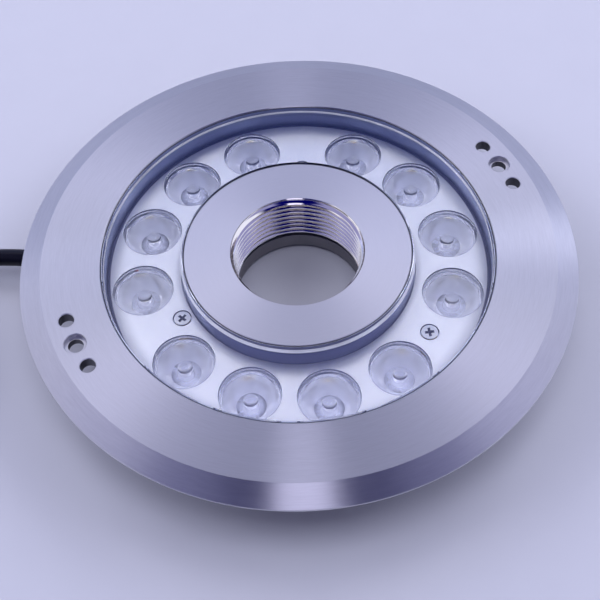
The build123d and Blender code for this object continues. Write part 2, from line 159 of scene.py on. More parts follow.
def polar(radius, azimuth, height=0.0):
    """Place on a circle about the bore, with its +X pointing outward. The azimuth is in degrees."""
    turn = Matrix.Rotation(math.radians(azimuth), 4, "Z")
    return turn @ Matrix.Translation((radius, 0, height))


def cut(piece, cutters):
    """Takes each cutter from the piece with an exact boolean, and removes the cutters."""
    for cutter in cutters:
        step = piece.modifiers.new("cut", "BOOLEAN")
        step.operation = "DIFFERENCE"
        step.solver = "EXACT"
        step.object = cutter
    bpy.context.view_layer.update()
    shaped = piece.evaluated_get(bpy.context.evaluated_depsgraph_get())
    data = bpy.data.meshes.new_from_object(shaped)
    piece.modifiers.clear()
    piece.data = data
    for cutter in cutters:
        bpy.data.objects.remove(cutter)


def dress(piece, material, replaces=(), body=LIGHT, sharp=35):
    """Shading, material and the piece's place in the frame."""
    data = piece.data
    data.materials.clear()
    data.materials.append(material)
    data.shade_smooth()
    data.set_sharp_from_angle(angle=math.radians(sharp))
    weighted = piece.modifiers.new("normals", "WEIGHTED_NORMAL")
    weighted.keep_sharp = True
    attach(piece, body)
    if replaces:
        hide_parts(*replaces)
    return piece


def finish_faces(data, materials, choose):
    """Adds finishes to a mesh. choose gives a face's index, and 0 is the finish that the mesh has."""
    for material in materials:
        data.materials.append(material)
    for face in data.polygons:
        face.material_index = choose(face)


# ---------------------------------------------------------------- material helpers
class Graph:
    """A short way to add nodes to a node tree."""

    def __init__(self, tree):
        self.tree = tree

    def put(self, socket, value):
        if isinstance(value, bpy.types.NodeSocket):
            self.tree.links.new(value, socket)
        else:
            socket.default_value = value

    def node(self, kind, **settings):
        made = self.tree.nodes.new(kind)
        for name, value in settings.items():
            setattr(made, name, value)
        return made

    def math(self, operation, *values):
        made = self.node("ShaderNodeMath", operation=operation)
        for socket, value in zip(made.inputs, values):
            self.put(socket, value)
        return made.outputs[0]

    def vector(self, operation, *values):
        made = self.node("ShaderNodeVectorMath", operation=operation)
        for socket, value in zip(made.inputs, values):
            self.put(socket, value)
        return made.outputs["Value" if operation in ("LENGTH", "DOT_PRODUCT") else "Vector"]

    def scaled(self, vector, scale):
        made = self.node("ShaderNodeVectorMath", operation="SCALE")
        self.put(made.inputs[0], vector)
        self.put(made.inputs["Scale"], scale)
        return made.outputs["Vector"]

    def combine(self, x, y, z):
        made = self.node("ShaderNodeCombineXYZ")
        for socket, value in zip(made.inputs, (x, y, z)):
            self.put(socket, value)
        return made.outputs[0]

    def separate(self, vector):
        made = self.node("ShaderNodeSeparateXYZ")
        self.put(made.inputs[0], vector)
        return made.outputs

    def place(self):
        return self.node("ShaderNodeTexCoord").outputs["Object"]

    def noise(self, vector, scale, detail=2.0, roughness=0.5):
        made = self.node("ShaderNodeTexNoise")
        self.put(made.inputs["Vector"], vector)
        self.put(made.inputs["Scale"], scale)
        self.put(made.inputs["Detail"], detail)
        self.put(made.inputs["Roughness"], roughness)
        return made.outputs["Fac"]

    def cells(self, vector, scale, output="Distance"):
        made = self.node("ShaderNodeTexVoronoi")
        self.put(made.inputs["Vector"], vector)
        self.put(made.inputs["Scale"], scale)
        return made.outputs[output]

    def span(self, value, start, end, first, last, kind="LINEAR"):
        """Value mapped from start..end to first..last."""
        made = self.node("ShaderNodeMapRange", interpolation_type=kind)
        names = ("Value", "From Min", "From Max", "To Min", "To Max")
        for name, number in zip(names, (value, start, end, first, last)):
            self.put(made.inputs[name], number)
        return made.outputs[0]

    def blend(self, share, first, second):
        """Colour from first to second, both (r, g, b) or sockets."""
        made = self.node("ShaderNodeMix", data_type="RGBA")
        self.put(made.inputs["Factor"], share)
        for name, colour in (("A", first), ("B", second)):
            socket = next(s for s in made.inputs if s.name == name and s.type == "RGBA")
            self.put(socket, colour if isinstance(colour, bpy.types.NodeSocket) else (*colour, 1))
        return next(s for s in made.outputs if s.type == "RGBA")


class Finish(Graph):
    """A Principled material."""

    def __init__(self, name):
        self.material = bpy.data.materials.new(name)
        self.material.use_nodes = True
        super().__init__(self.material.node_tree)
        self.shader = self.tree.nodes["Principled BSDF"]
        self.output = self.tree.nodes["Material Output"]

    def set(self, **values):
        for name, value in values.items():
            self.put(self.shader.inputs[name.replace("_", " ")], value)
        return self

    def bump(self, height, distance, strength=1.0):
        made = self.node("ShaderNodeBump")
        self.put(made.inputs["Height"], height)
        self.put(made.inputs["Distance"], distance)
        self.put(made.inputs["Strength"], strength)
        self.put(self.shader.inputs["Normal"], made.outputs[0])
        return self

    def radial_tangent(self, anisotropy):
        """Highlights stretched across lines that run round the bore."""
        tangent = self.node("ShaderNodeTangent", direction_type="RADIAL", axis="Z")
        self.put(self.shader.inputs["Tangent"], tangent.outputs[0])
        return self.set(Anisotropic=anisotropy, Anisotropic_Rotation=0.25)

    def let_lamps_through(self, share):
        """Lamps shine straight through the clear surface, with a share of their light."""
        path = self.node("ShaderNodeLightPath")
        clear = self.node("ShaderNodeBsdfTransparent")
        self.put(clear.inputs["Color"], (*share, 1))
        mix = self.node("ShaderNodeMixShader")
        self.put(mix.inputs[0], path.outputs["Is Shadow Ray"])
        self.put(mix.inputs[1], self.shader.outputs[0])
        self.put(mix.inputs[2], clear.outputs[0])
        self.put(self.output.inputs["Surface"], mix.outputs[0])
        return self


def shade(colour, factor):
    return tuple(min(1.0, channel * factor) for channel in colour)


def turned_metal(name, colour, roughness, line, streak, contrast=1.0, anisotropy=0.7, metallic=1.0):
    """Metal turned on a lathe: lines round the bore, of a width and a length, in metres."""
    finish = Finish(name)
    position = finish.place()
    x, y, z = finish.separate(position)
    flat = finish.combine(x, y, 0.0)
    radius = finish.vector("LENGTH", flat)
    direction = finish.vector("NORMALIZE", flat)
    typical_radius = 80 * MM
    across = finish.math("ADD", radius, z)

    def lines(width, length):
        around = finish.scaled(direction, typical_radius / length)
        step = finish.math("MULTIPLY", across, 1 / width)
        place = finish.vector("ADD", around, finish.combine(0.0, 0.0, step))
        return finish.noise(place, 1.0, 2.0, 0.6)

    fine, coarse = lines(line, streak), lines(4 * line, 3 * streak)
    stain = finish.noise(position, 30.0, 3.0)
    grain = finish.math("ADD", finish.math("MULTIPLY", fine, 0.6), finish.math("MULTIPLY", coarse, 0.4))
    tone = finish.math("ADD", finish.math("MULTIPLY", grain, 0.8), finish.math("MULTIPLY", stain, 0.2))
    spread = 0.09 * contrast
    wear = 0.1 * contrast
    finish.set(
        Base_Color=finish.blend(
            finish.span(tone, 0.35, 0.65, 0, 1), shade(colour, 1 - spread), shade(colour, 1 + spread)
        ),
        Metallic=metallic,
        Roughness=finish.span(grain, 0.3, 0.7, roughness * (1 - wear), roughness * (1 + wear)),
    )
    finish.bump(grain, 3e-6 * contrast)
    finish.radial_tangent(anisotropy)
    return finish.material


def grained_metal(name, colour, roughness, grain_size, depth, shaded=()):
    """Blasted or plated metal with a fine grain.

    shaded holds (start, end, share): painted shade, whose share rises to that between two distances from the bore.
    """
    finish = Finish(name)
    position = finish.place()
    fine = finish.noise(position, 1 / grain_size, 2.0, 0.6)
    sparkle = finish.cells(position, 0.7 / grain_size, "Color")
    broad = finish.noise(position, 40.0, 2.0)
    tone = finish.math("ADD", finish.math("MULTIPLY", fine, 0.7), finish.math("MULTIPLY", broad, 0.3))
    base = finish.blend(finish.span(tone, 0.3, 0.7, 0, 1), shade(colour, 0.9), shade(colour, 1.06))
    glitter = finish.math("MULTIPLY", finish.separate(sparkle)[0], 0.12)
    base = finish.blend(glitter, base, shade(colour, 1.3))
    x, y, _ = finish.separate(position)
    radius = finish.vector("LENGTH", finish.combine(x, y, 0.0))
    # painted shade: rings of the metal darkened towards the colour of shade
    for start, end, share in shaded:
        base = finish.blend(finish.span(radius, start, end, 0, share, "SMOOTHSTEP"), base, PAINTED_SHADE_COLOUR)
    finish.set(
        Base_Color=base,
        Metallic=1.0,
        Roughness=finish.span(fine, 0.3, 0.7, roughness * 0.85, roughness * 1.15),
    )
    finish.bump(fine, depth)
    return finish.material


def clear(name, index, tint, roughness, share=(1, 1, 1), body=0.0, veil=(1, 1, 1)):
    """Polished clear glass or plastic, faintly smeared.

    share is the light it lets through, body its milky share and veil the colour of its reflections.
    """
    finish = Finish(name)
    position = finish.place()
    smear = finish.noise(position, 90.0, 3.0, 0.6)
    finish.set(
        Base_Color=finish.blend(smear, tint, shade(tint, 0.985)),
        Roughness=finish.span(smear, 0.45, 0.8, 0.0, roughness),
        Transmission_Weight=1.0 - body,
        Specular_Tint=(*veil, 1),
        IOR=index,
    )
    return finish.let_lamps_through(share).material


def moulded(name, colour, roughness, grain_size, depth, specular=0.5):
    """Moulded plastic or rubber with a fine texture and slight wear."""
    finish = Finish(name)
    position = finish.place()
    fine = finish.noise(position, 1 / grain_size, 3.0, 0.6)
    broad = finish.noise(position, 60.0, 3.0)
    finish.set(
        Base_Color=finish.blend(
            finish.span(broad, 0.3, 0.7, 0, 1), shade(colour, 0.82), shade(colour, 1.2)
        ),
        Roughness=finish.span(fine, 0.3, 0.7, roughness * 0.85, min(1.0, roughness * 1.15)),
        Specular_IOR_Level=specular,
    )
    finish.bump(fine, depth)
    return finish.material


# ---------------------------------------------------------------- materials
STEEL = (0.66, 0.66, 0.68)
PAINTED_SHADE_COLOUR = (0.02, 0.02, 0.06)   # painted shade: the dark violet that shaded metal fades to
flange_steel = turned_metal(
    "flange_steel", STEEL, 0.33, 0.25 * MM, 5 * MM, contrast=0.6, anisotropy=1.0,
)
hub_steel = turned_metal("hub_steel", STEEL, 0.36, 0.12 * MM, 8 * MM, contrast=0.25)
thread_steel = turned_metal(
    "thread_steel", (0.90, 0.86, 0.80), 0.10, 0.3 * MM, 20 * MM, contrast=0.2, anisotropy=0.0,
)
crest_steel = turned_metal(
    "crest_steel", (0.90, 0.90, 0.93), 0.45, 0.1 * MM, 6 * MM, contrast=0.4, anisotropy=0.0, metallic=0.4,
)
# painted shade: the hub's wall under the window is coloured dark violet for the shade on it
skirt_painted_shade = turned_metal("skirt_painted_shade", (0.09, 0.11, 0.24), 0.4, 0.2 * MM, 8 * MM, anisotropy=0.3)
# painted shade: the flange's inner wall under the window is coloured dark violet for the shade on it
ledge_wall_painted_shade = turned_metal("ledge_wall_painted_shade", (0.30, 0.34, 0.50), 0.4, 0.2 * MM, 8 * MM, anisotropy=0.3)
# painted shade: the groove under the thread is coloured near black for the deep shade in it
groove_painted_shade = turned_metal(
    "groove_painted_shade", (0.05, 0.05, 0.055), 0.5, 0.2 * MM, 6 * MM, anisotropy=0.0,
)
bore_steel = turned_metal("bore_steel", (0.34, 0.33, 0.34), 0.55, 0.3 * MM, 9 * MM, anisotropy=0.3)
pan_steel = turned_metal("pan_steel", (0.60, 0.60, 0.62), 0.36, 0.25 * MM, 18 * MM)
weld_steel = grained_metal("weld_steel", (0.52, 0.50, 0.50), 0.34, 0.5 * MM, 30e-6)
screw_steel = grained_metal("screw_steel", (0.62, 0.62, 0.64), 0.25, 0.25 * MM, 8e-6)
head_steel = grained_metal("head_steel", (0.60, 0.61, 0.64), 0.36, 0.2 * MM, 12e-6)
# painted shade: screw recesses and the walls and edges of the plate's holes are coloured dark for their shade
recess_painted_shade = grained_metal("recess_painted_shade", (0.07, 0.07, 0.10), 0.5, 0.2 * MM, 12e-6)
# painted shade: the walls of the flange's holes are coloured dark for the shade in them
hole_painted_shade = turned_metal("hole_painted_shade", (0.12, 0.12, 0.13), 0.4, 0.2 * MM, 4 * MM, anisotropy=0.0)
# the plate's painted shade: darker towards the flange wall, a dark painted shadow line at the wall, and darker
# beside the hub
plate_silver = grained_metal(
    "plate_silver", (0.95, 0.96, 1.0), 0.46, 0.35 * MM, 25e-6,
    shaded=((62 * MM, 69 * MM, 0.45), (67.6 * MM, 68.0 * MM, 0.92), (45.0 * MM, 42.5 * MM, 0.25)),
)
gland_plating = grained_metal("gland_plating", (0.66, 0.65, 0.62), 0.28, 0.3 * MM, 10e-6)
brass = grained_metal("brass", (0.80, 0.60, 0.30), 0.28, 0.3 * MM, 10e-6)
window_clear = clear("window_clear", 1.52, (0.97, 0.985, 0.985), 0.02, veil=(0.35, 0.40, 0.80))
lens_clear = clear("lens_clear", 1.49, (0.99, 0.99, 1.0), 0.03, share=(0.9, 0.9, 0.9), veil=(0.9, 0.9, 1.0))
dome_clear = clear("dome_clear", 1.41, (1.0, 0.985, 0.95), 0.05)
lens_bowl = clear(
    "lens_bowl", 1.49, (0.84, 0.85, 0.93), 0.06, share=(0.9, 0.9, 0.9), body=0.4, veil=(0.9, 0.9, 1.0),
)
gasket_white = moulded("gasket_white", (0.62, 0.62, 0.66), 0.6, 0.4 * MM, 15e-6)
# the sealant seen through the glass's edges, with painted shade: the inner edge darker, the outer edge lighter
edge_inside_seal_and_shade = moulded("edge_inside_seal_and_shade", (0.06, 0.07, 0.16), 0.5, 0.6 * MM, 10e-6)
edge_outside_seal_and_shade = moulded("edge_outside_seal_and_shade", (0.15, 0.18, 0.32), 0.5, 0.6 * MM, 10e-6)
sealant_dark = moulded("sealant_dark", (0.04, 0.04, 0.05), 0.45, 0.6 * MM, 30e-6)
# painted shade: the LED board is coloured grey violet for the shade inside the housing
board_white = moulded("board_white", (0.62, 0.64, 0.78), 0.4, 0.5 * MM, 8e-6)
pad_grey = moulded("pad_grey", (0.42, 0.50, 0.55), 0.8, 0.4 * MM, 20e-6)
chip_black = moulded("chip_black", (0.03, 0.03, 0.032), 0.5, 0.2 * MM, 8e-6)
ceramic_tan = moulded("ceramic_tan", (0.45, 0.33, 0.20), 0.4, 0.3 * MM, 8e-6)
wire_red = moulded("wire_red", (0.45, 0.03, 0.02), 0.35, 0.5 * MM, 6e-6)
wire_black = moulded("wire_black", (0.02, 0.02, 0.022), 0.35, 0.5 * MM, 6e-6)
rubber = moulded("rubber", (0.02, 0.02, 0.022), 0.7, 0.3 * MM, 12e-6)
jacket = moulded("jacket", (0.003, 0.003, 0.007), 0.34, 0.35 * MM, 14e-6, specular=0.22)
nylon = moulded("nylon", (0.022, 0.022, 0.024), 0.38, 0.3 * MM, 16e-6)
tie_nylon = moulded("tie_nylon", (0.016, 0.016, 0.018), 0.33, 0.4 * MM, 10e-6)
seal_red = moulded("seal_red", (0.38, 0.04, 0.03), 0.55, 0.3 * MM, 10e-6)
ceramic_white = moulded("ceramic_white", (0.85, 0.84, 0.80), 0.35, 0.2 * MM, 5e-6)
phosphor = moulded("phosphor", (0.80, 0.62, 0.20), 0.45, 0.1 * MM, 5e-6)


# ---------------------------------------------------------------- flange
RIM = 1.0 * MM
BEVEL_DROP = 3.3 * MM
BEVEL_WIDTH = 7.7 * MM
HOLE_CIRCLE = frame["record"]["mounts"][1]["dims"]["spacing_x_mm"] / 2 * MM
SIDE_HOLE_ANGLE = 7.0
SIDE_HOLE_RADIUS = frame["record"]["mounts"][2]["dims"]["hole_r_mm"] * MM
MIDDLE_HOLE_RADIUS = frame["record"]["mounts"][1]["dims"]["hole_r_mm"] * MM
COUNTERBORE_RADIUS = 3.85 * MM
COUNTERBORE_DEPTH = 1.7 * MM
SIDE_CHAMFER = 0.25 * MM
MIDDLE_CHAMFER = 0.1 * MM
COUNTERBORE_CHAMFER = 0.2 * MM
FACE_MARGIN = 0.05 * MM      # how far a face's centre may lie from the radius it belongs to


def hole_cutter(name, radius, chamfer, place, depth=30 * MM):
    """Cutter for a round hole with a small chamfer at the flange face."""
    outline = [
        (0, -depth),
        (radius, -depth),
        (radius, -chamfer),
        (radius + chamfer, 0),
        (radius + chamfer, RIM),
        (0, RIM),
    ]
    return new_object(name, lathe(name, outline, 64), place)


def flange_outline():
    arris = 0.25 * MM
    collar = PAN_RADIUS - 2.6 * MM
    bottom = low("face_ring")
    underside = TOP - BEVEL_DROP - RIM
    opening = WINDOW_RADIUS + 0.02 * MM
    return rounded([
        (LEDGE_RADIUS, bottom, 0),
        (collar, bottom, 0.3 * MM),
        (collar, underside, 0),
        (FLANGE_RADIUS, underside, 0.3 * MM),
        (FLANGE_RADIUS, TOP - BEVEL_DROP, 0.25 * MM),
        (FLANGE_RADIUS - BEVEL_WIDTH, TOP, 0.35 * MM),
        (opening + arris, TOP, 0.08 * MM),
        (opening, TOP - arris, 0.08 * MM),
        (opening, LEDGE, 0),
        (LEDGE_RADIUS, LEDGE, 0.1 * MM),
    ])


def flange():
    piece = new_object("flange", lathe("flange", flange_outline(), 320))
    cutters, holes = [], []
    for azimuth in (0, 180):
        for side in (-SIDE_HOLE_ANGLE, SIDE_HOLE_ANGLE):
            place = polar(HOLE_CIRCLE, azimuth + side, TOP)
            cutters.append(hole_cutter("side_cutter", SIDE_HOLE_RADIUS, SIDE_CHAMFER, place))
            holes.append((place.translation, SIDE_HOLE_RADIUS))
        place = polar(HOLE_CIRCLE, azimuth, TOP)
        cutters.append(hole_cutter("bore_cutter", MIDDLE_HOLE_RADIUS, MIDDLE_CHAMFER, place))
        cutters.append(hole_cutter(
            "pocket_cutter", COUNTERBORE_RADIUS, COUNTERBORE_CHAMFER, place, COUNTERBORE_DEPTH,
        ))
        holes.append((place.translation, MIDDLE_HOLE_RADIUS))
    cut(piece, cutters)
    dress(piece, flange_steel, ["face_ring"])

    def finish(face):
        """Painted shade in the holes and on the wall under the window."""
        if from_bore(face.center) < LEDGE_RADIUS + FACE_MARGIN:
            return 2
        in_hole = any(
            from_bore(face.center - middle) < radius + FACE_MARGIN for middle, radius in holes
        )
        return 1 if in_hole and abs(face.normal.z) < UPRIGHT else 0

    finish_faces(piece.data, (hole_painted_shade, ledge_wall_painted_shade), finish)


# ---------------------------------------------------------------- hub with its pipe thread
PITCH = 2.309 * MM
THREAD_MINOR = frame["record"]["mounts"][0]["dims"]["r_mm"] * MM
THREAD_DEPTH = 0.640327 * PITCH
CREST_RADIUS = 0.137329 * PITCH
FLANK = math.radians(27.5)
THREAD_BOTTOM = HUB_TOP - 18.3 * MM
MOUTH_RADIUS = 24.0 * MM
MOUTH_DEPTH = 2.1 * MM
RELIEF_RADIUS = 23.0 * MM
GROOVE_RADIUS = 24.4 * MM
GROOVE_HEIGHT = 2.4 * MM


def thread_depth(offset):
    """Radial depth below the crest of a Whitworth thread, at an axial offset from the crest's middle."""
    offset = abs((offset / PITCH + 0.5) % 1 - 0.5) * PITCH
    arc_end = CREST_RADIUS * math.cos(FLANK)
    if offset <= arc_end:
        return CREST_RADIUS - math.sqrt(CREST_RADIUS**2 - offset**2)
    if offset >= PITCH / 2 - arc_end:
        inward = PITCH / 2 - offset
        return THREAD_DEPTH - CREST_RADIUS + math.sqrt(max(0.0, CREST_RADIUS**2 - inward**2))
    arc_depth = CREST_RADIUS * (1 - math.sin(FLANK))
    return arc_depth + (offset - arc_end) / math.tan(FLANK)


def bore_radius(height, angle):
    """Radius of the threaded bore, with the mouth's chamfer above and the thread's run-out below."""
    offset = height - PITCH * angle / (2 * math.pi)
    radius = THREAD_MINOR + thread_depth(offset)
    run_out = min(1.0, max(0.0, (height - THREAD_BOTTOM) / (0.6 * PITCH)))
    radius = THREAD_MINOR + (radius - THREAD_MINOR) * run_out
    slope = (MOUTH_RADIUS - THREAD_MINOR) / MOUTH_DEPTH
    return max(radius, MOUTH_RADIUS - slope * (HUB_TOP - height))


def thread_offsets():
    """Axial places of the mesh rows in one pitch: round the crest, round the root, and on the flanks."""
    arc_end = CREST_RADIUS * math.cos(FLANK)
    crest = [arc_end * share for share in (-1, -0.6, -0.2, 0.2, 0.6, 1)]
    root = [PITCH / 2 + offset for offset in crest]
    flank = PITCH / 4
    return sorted(crest + [flank] + root + [PITCH - flank])


def hub():
    arris = 0.2 * MM
    tube = 27.5 * MM
    skirt_inner = HUB_SKIRT - 2.5 * MM
    skirt_bottom = PLATE_BOTTOM - 0.3 * MM
    head_underside = TOP - 6.4 * MM
    outside = rounded([
        (MOUTH_RADIUS, 0.0, 0),
        (tube, 0.0, 0.3 * MM),
        (tube, head_underside, 0.8 * MM),
        (skirt_inner, head_underside, 0.8 * MM),
        (skirt_inner, skirt_bottom, 0.2 * MM),
        (HUB_SKIRT, skirt_bottom, 0.2 * MM),
        (HUB_SKIRT, LEDGE, 0.1 * MM),
        (HUB_HEAD_RADIUS, LEDGE, 0),
        (HUB_HEAD_RADIUS, HUB_TOP - arris, 0.08 * MM),
        (HUB_HEAD_RADIUS - arris, HUB_TOP, 0.08 * MM),
        (MOUTH_RADIUS + 0.15 * MM, HUB_TOP, 0),
        (MOUTH_RADIUS, HUB_TOP - 0.1 * MM, 0),
    ])[:-2]
    groove_floor = THREAD_BOTTOM - GROOVE_HEIGHT
    below = [
        (GROOVE_RADIUS, THREAD_BOTTOM - 0.05 * MM),
        (GROOVE_RADIUS, groove_floor),
        (RELIEF_RADIUS + 0.1 * MM, groove_floor),
        (RELIEF_RADIUS, groove_floor - 0.1 * MM),
        (RELIEF_RADIUS, 1.0 * MM),
        (MOUTH_RADIUS, 0.05 * MM),
    ]
    offsets = thread_offsets()
    turns = int((HUB_TOP - THREAD_BOTTOM) / PITCH) + 3
    first = math.floor(THREAD_BOTTOM / PITCH) - 1
    rows = []
    for angle in np.linspace(0, 2 * math.pi, 241):
        lead = PITCH * angle / (2 * math.pi)
        heights = [(first + turn) * PITCH + offset + lead for turn in range(turns) for offset in offsets]
        heights = [min(max(height, THREAD_BOTTOM), HUB_TOP) for height in reversed(heights)]
        threaded = [(bore_radius(height, angle), height) for height in heights]
        profile = [tuple(point) for point in outside] + threaded + below
        rows.append([(r * math.cos(angle), r * math.sin(angle), z) for r, z in profile])
    piece = new_object("hub", grid_mesh("hub", rows))
    dress(piece, hub_steel, ["threaded_hub"], sharp=40)
    finish_faces(piece.data, HUB_FINISHES.values(), hub_finish)


HUB_FINISHES = {
    "flank": thread_steel,
    "crest": crest_steel,
    # painted shade in the groove under the thread
    "groove": groove_painted_shade,
    "bore": bore_steel,
    # painted shade on the hub's wall under the window
    "skirt": skirt_painted_shade,
}


def hub_finish(face):
    """Index of a hub face's finish, 0 for the outside."""
    radius, height = from_bore(face.center), face.center.z
    in_mouth = radius > MOUTH_RADIUS - 0.1 * MM and height > THREAD_BOTTOM
    if radius > HUB_SKIRT - 0.3 * MM and height < LEDGE:
        part = "skirt"
    elif radius > GROOVE_RADIUS + 0.1 * MM or in_mouth:
        return 0
    elif height < THREAD_BOTTOM - GROOVE_HEIGHT:
        part = "bore"
    elif height < THREAD_BOTTOM + 0.1 * MM:
        part = "groove"
    elif radius < THREAD_MINOR + 0.1 * MM and height < HUB_TOP - MOUTH_DEPTH:
        part = "crest"
    else:
        part = "flank"
    return 1 + list(HUB_FINISHES).index(part)


# ---------------------------------------------------------------- window
def window():
    inner, outer = radii("window_glass")
    bottom, top = low("window_glass"), high("window_glass")
    arris = 0.35 * MM
    soft = 0.06 * MM
    outline = rounded([
        (inner, bottom + arris, soft),
        (inner + arris, bottom, soft),
        (outer - arris, bottom, soft),
        (outer, bottom + arris, soft),
        (outer, top - arris, soft),
        (outer - arris, top, soft),
        (inner + arris, top, soft),
        (inner, top - arris, soft),
    ], steps=2)
    piece = new_object("window", lathe("window", outline, 320))
    dress(piece, window_clear, ["window_glass"], sharp=30)

    def finish(face):
        """The sealant behind the glass's edges shows through them, with painted shade in its colours: darker on
        the inner edge, lighter on the outer.
        """
        if abs(face.normal.z) > UPRIGHT:
            return 0
        return 1 if from_bore(face.center) < (inner + outer) / 2 else 2

    finish_faces(piece.data, (edge_inside_seal_and_shade, edge_outside_seal_and_shade), finish)
    gasket("outer_gasket", "gasket_outside")
    gasket("inner_gasket", "gasket_inside")
    sealant_bead("outer_sealant", "bead_outside")
    sealant_bead("inner_sealant", "bead_inside")


def gasket(node, name):
    near, far = radii(node)
    bottom, top = low(node), high(node)
    soft = 0.1 * MM
    corners = [(near, bottom, soft), (far, bottom, soft), (far, top, soft), (near, top, soft)]
    outline = rounded(corners, steps=3)
    dress(new_object(name, lathe(name, outline)), gasket_white, [node])


def sealant_bead(node, name):
    """Bead in the joint beside the glass, with a hollow top."""
    near, far = radii(node)
    top = high(node)
    hollow = 0.15 * MM
    outline = [
        (near, low(node)),
        (far, low(node)),
        (far, top),
        ((near + 3 * far) / 4, top - 0.8 * hollow),
        ((near + far) / 2, top - hollow),
        ((3 * near + far) / 4, top - 0.8 * hollow),
        (near, top),
    ]
    dress(new_object(name, lathe(name, outline)), sealant_dark, [node])


# ---------------------------------------------------------------- lens plate, lenses and emitters
LENSES = sorted(name for name in frame["nodes"] if name.startswith("lens_") and name != "lens_plate")
LENS_HOLE_RADIUS = 10.8 * MM
SCREW_HEAD_RADIUS = 3.0 * MM
SCREW_HEAD_GAP = 0.3 * MM
MILKY_BELOW = PLATE_BOTTOM - 3.0 * MM    # a lens is milky under this height, outside its cavity
CAVITY_REACH = 3.5 * MM


def screw_places():
    """Centre of each separate screw in the CAD node, found from its head's points."""
    data = frame["nodes"]["plate_screws"].data
    tops = [v.co for v in data.vertices if v.co.z > high("plate_screws") - 0.01 * MM]
    groups = []
    for point in tops:
        near = next((g for g in groups if (g[0] - point).length < 3 * SCREW_HEAD_RADIUS), None)
        if near:
            near.append(point)
        else:
            groups.append([point])
    centres = []
    for group in groups:
        lowest = Vector([min(p[axis] for p in group) for axis in range(3)])
        highest = Vector([max(p[axis] for p in group) for axis in range(3)])
        centres.append((lowest + highest) / 2)
    return centres


def azimuth_of(point):
    return math.degrees(math.atan2(point.y, point.x))


def circle_points(radius, middle=(0, 0), count=96):
    angles = np.linspace(0, 2 * math.pi, count, endpoint=False)
    return [(middle[0] + radius * math.cos(angle), middle[1] + radius * math.sin(angle)) for angle in angles]


def plate():
    """Sheet with its holes, filled between outlines and with every edge broken."""
    edge = 0.15 * MM
    inner, outer = radii("lens_plate")
    outlines = [circle_points(outer - edge, count=256), circle_points(inner + edge, count=192)]
    outlines += [circle_points(LENS_HOLE_RADIUS + edge, centre(node)) for node in LENSES]
    screw_hole = SCREW_HEAD_RADIUS + SCREW_HEAD_GAP + edge
    outlines += [circle_points(screw_hole, middle, 48) for middle in screw_places()]
    sheet = bpy.data.curves.new("plate", "CURVE")
    sheet.dimensions = "2D"
    sheet.fill_mode = "BOTH"
    for outline in outlines:
        spline = sheet.splines.new("POLY")
        spline.points.add(len(outline) - 1)
        for point, (x, y) in zip(spline.points, outline):
            point.co = (x, y, 0, 1)
        spline.use_cyclic_u = True
    sheet.extrude = (PLATE_TOP - PLATE_BOTTOM) / 2 - edge
    sheet.bevel_depth = edge
    sheet.bevel_resolution = 2
    middle_height = (PLATE_TOP + PLATE_BOTTOM) / 2
    outlined = new_object("plate_outline", sheet, Matrix.Translation((0, 0, middle_height)))
    bpy.context.view_layer.update()
    filled = outlined.evaluated_get(bpy.context.evaluated_depsgraph_get())
    data = bpy.data.meshes.new_from_object(filled)
    data.transform(outlined.matrix_world)
    bpy.data.objects.remove(outlined)
    dress(new_object("plate", data), plate_silver, ["lens_plate"])
    rim_slope = 0.6
    # painted shade: the walls and edges of the plate's holes are coloured dark
    finish_faces(data, [recess_painted_shade], lambda face: int(abs(face.normal.z) < rim_slope))


def arc(start, through, end, steps):
    """Points on the circle through three (radius, height) points, from start to end."""
    (ax, ay), (bx, by), (cx, cy) = start, through, end
    d = 2 * (ax * (by - cy) + bx * (cy - ay) + cx * (ay - by))
    ux = ((ax**2 + ay**2) * (by - cy) + (bx**2 + by**2) * (cy - ay) + (cx**2 + cy**2) * (ay - by)) / d
    uy = ((ax**2 + ay**2) * (cx - bx) + (bx**2 + by**2) * (ax - cx) + (cx**2 + cy**2) * (bx - ax)) / d
    middle = Vector((ux, uy))
    first = Vector(start) - middle
    turn = first.angle_signed(Vector(end) - middle)
    return [middle + Matrix.Rotation(-turn * step / steps, 2) @ first for step in range(steps + 1)]


def lens_mesh():
    """Collimating lens: flat front, retaining lip, bulging cone and a cavity over the emitter."""
    front = high("lens_01")
    lip_top = PLATE_BOTTOM - 0.1 * MM
    lip_bottom = lip_top - 0.9 * MM
    front_radius, lip_radius = LENS_HOLE_RADIUS - 0.15 * MM, 11.7 * MM
    foot, throat, ceiling = 5.2 * MM, 3.2 * MM, 2.6 * MM
    shoulder = 10.2 * MM
    cavity = BOARD_TOP + 6.6 * MM
    bulge = (8.6 * MM, BOARD_TOP + 4.6 * MM)
    side = arc((foot, BOARD_TOP), bulge, (shoulder, lip_bottom), 20)
    rim = rounded([
        (shoulder, lip_bottom, 0),
        (lip_radius, lip_bottom, 0.15 * MM),
        (lip_radius, lip_top, 0.15 * MM),
        (front_radius, lip_top, 0.15 * MM),
        (front_radius, front, 0.25 * MM),
        (0, front, 0),
    ])[1:]
    roof = arc((0, cavity - 0.9 * MM), (1.5 * MM, cavity - 0.6 * MM), (ceiling, cavity), 8)
    outline = side + rim + roof + [Vector((throat, BOARD_TOP))]
    return lathe("optic", outline, 96)


